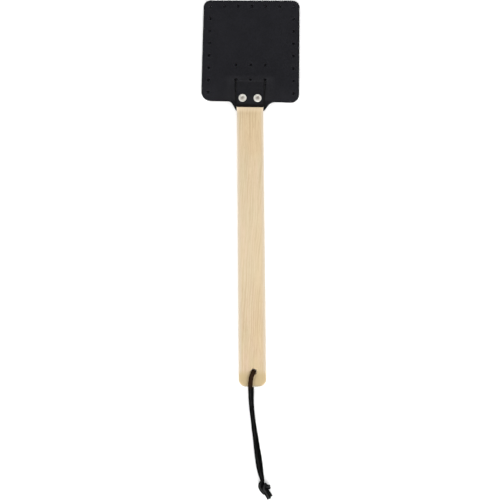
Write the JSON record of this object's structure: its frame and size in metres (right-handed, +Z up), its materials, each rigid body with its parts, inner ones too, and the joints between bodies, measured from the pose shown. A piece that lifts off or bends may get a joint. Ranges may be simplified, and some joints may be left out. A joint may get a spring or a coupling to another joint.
{
  "type": "fly swatter",
  "caption": "Fly swatter with a square perforated leather flap riveted by a slit tongue to a flat wooden handle, and a knotted lace loop at the handle's end.",
  "frame": {"origin": "centre of the bounding box of handle, flap and rivets, on the surface that the swatter lies on", "axes": "+Y along the handle towards the flap, +X to the right, +Z up out of the front face that carries the rivet burrs"},
  "size_m": [0.1102, 0.5584, 0.0139],
  "materials": {
    "handle_wood": "satin",
    "flap_leather": "matte",
    "rivet_nickel": "polished",
    "lace_leather": "satin"
  },
  "bodies": {
    "handle": {"handle": "handle_wood", "flap_tongue": "flap_leather", "rivet_left": "rivet_nickel", "rivet_right": "rivet_nickel", "rivet_burr_left": "rivet_nickel", "rivet_burr_right": "rivet_nickel"},
    "flap": {"flap_panel": "flap_leather"},
    "lanyard": {"lanyard_lace": "lace_leather", "lanyard_knot": "lace_leather"}
  },
  "joints": [
    {"name": "flap_flex", "type": "hinge", "parent": "handle", "child": "flap", "pos_m": [-0.00041, 0.12164, 0.0061], "axis": [0.9997, -0.025, 0], "range_deg": [-45, 45], "stiffness_Nm_per_rad": 0.25},
    {"name": "lanyard_swing", "type": "hinge", "parent": "handle", "child": "lanyard", "pos_m": [0.00054, -0.19866, 0.0059], "axis": [0, 0, 1], "range_deg": [-90, 90]}
  ]
}
